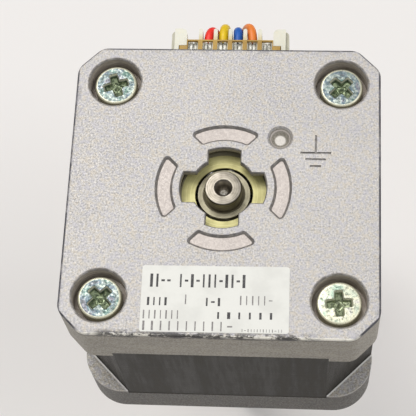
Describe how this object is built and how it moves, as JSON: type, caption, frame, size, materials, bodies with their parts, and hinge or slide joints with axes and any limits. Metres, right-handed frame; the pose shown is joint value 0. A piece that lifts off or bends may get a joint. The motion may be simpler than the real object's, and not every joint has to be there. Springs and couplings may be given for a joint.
{
  "type": "stepper motor with lead screw",
  "caption": "Square-flanged hybrid stepper motor whose shaft continues as a trapezoidal lead screw with a flanged brass nut, plug-in wire lead at its rear.",
  "frame": {"origin": "centre of the square pattern of mounting holes, on the front flange's mounting face", "axes": "+Z along the motor axis from the mounting face towards the rear cover, lead screw down -Z; +Y towards the wire connector; +X completes the right-handed frame"},
  "size_m": [0.0418, 0.0556, 0.1041],
  "materials": {
    "cast_cover": "fine grained die casting",
    "cast_flange": "fine grained die casting",
    "lamination_steel": "blued laminations, satin",
    "insulator_nylon": "moulded",
    "copper_wire": "enamelled copper wire",
    "label_film": "matt film",
    "zinc_screw": "zinc plate, iridescent",
    "spring_steel": "satin",
    "bearing_steel": "ground",
    "cage_steel": "pressed",
    "shield_steel": "pressed, light film of oil",
    "shaft_steel": "ground and rolled",
    "magnet": "sintered",
    "nut_brass": "turned",
    "header_nylon": "moulded",
    "plug_nylon": "moulded, slightly translucent",
    "tinned_contact": "tin plate",
    "wire_red": "wire insulation",
    "wire_yellow": "wire insulation",
    "wire_blue": "wire insulation",
    "wire_orange": "wire insulation",
    "wire_bundle": "four twisted insulated wires",
    "sleeve_black": "shrunk sleeve",
    "tie_nylon": "moulded nylon"
  },
  "bodies": {
    "housing": {"front_flange": "cast_flange", "rear_cover": "cast_cover", "stator_stack": "lamination_steel", "front_insulator": "insulator_nylon", "rear_insulator": "insulator_nylon", "phase_a_coils": "copper_wire", "phase_b_coils": "copper_wire", "rating_label": "label_film", "tie_screws": "zinc_screw", "spring_washer": "spring_steel", "front_bearing_outer_ring": "bearing_steel", "front_bearing_shields": "shield_steel", "rear_bearing_outer_ring": "bearing_steel", "rear_bearing_shields": "shield_steel", "wire_header": "header_nylon", "header_pins": "tinned_contact", "plug_housing": "plug_nylon", "plug_contacts": "tinned_contact", "lead_red": "wire_red", "lead_yellow": "wire_yellow", "lead_blue": "wire_blue", "lead_orange": "wire_orange", "harness_sleeve": "sleeve_black", "harness_lead": "wire_bundle", "harness_coil": "wire_bundle", "harness_tail": "wire_bundle", "harness_tie": "tie_nylon", "end_housing": "plug_nylon", "end_terminals": "tinned_contact"},
    "rotor": {"lead_screw_shaft": "shaft_steel", "rotor_core_front": "lamination_steel", "rotor_core_rear": "lamination_steel", "rotor_magnet": "magnet", "rotor_spacers": "shaft_steel", "front_bearing_inner_ring": "bearing_steel", "rear_bearing_inner_ring": "bearing_steel"},
    "front_ball_set": {"front_bearing_balls": "bearing_steel", "front_bearing_cage": "cage_steel"},
    "rear_ball_set": {"rear_bearing_balls": "bearing_steel", "rear_bearing_cage": "cage_steel"},
    "nut": {"lead_screw_nut": "nut_brass"}
  },
  "joints": [
    {"name": "rotor_spin", "type": "hinge", "parent": "housing", "child": "rotor", "pos_m": [0, 0, 0], "axis": [0, 0, 1], "range_deg": [-630, 1080]},
    {"name": "nut_travel", "type": "slide", "parent": "housing", "child": "nut", "axis": [0, 0, -1], "range_m": [-0.0141, 0.0242]},
    {"name": "front_balls_orbit", "type": "hinge", "parent": "housing", "child": "front_ball_set", "pos_m": [0, 0, 0.003], "axis": [0, 0, 1], "range_deg": [-250, 428]},
    {"name": "rear_balls_orbit", "type": "hinge", "parent": "housing", "child": "rear_ball_set", "pos_m": [0, 0, 0.0306], "axis": [0, 0, 1], "range_deg": [-250, 428]}
  ],
  "couplings": [
    {"joint": "nut_travel", "follows": "rotor_spin", "m_per_rad": 0.0012732},
    {"joint": "front_balls_orbit", "follows": "rotor_spin", "ratio": 0.395},
    {"joint": "rear_balls_orbit", "follows": "rotor_spin", "ratio": 0.395}
  ]
}
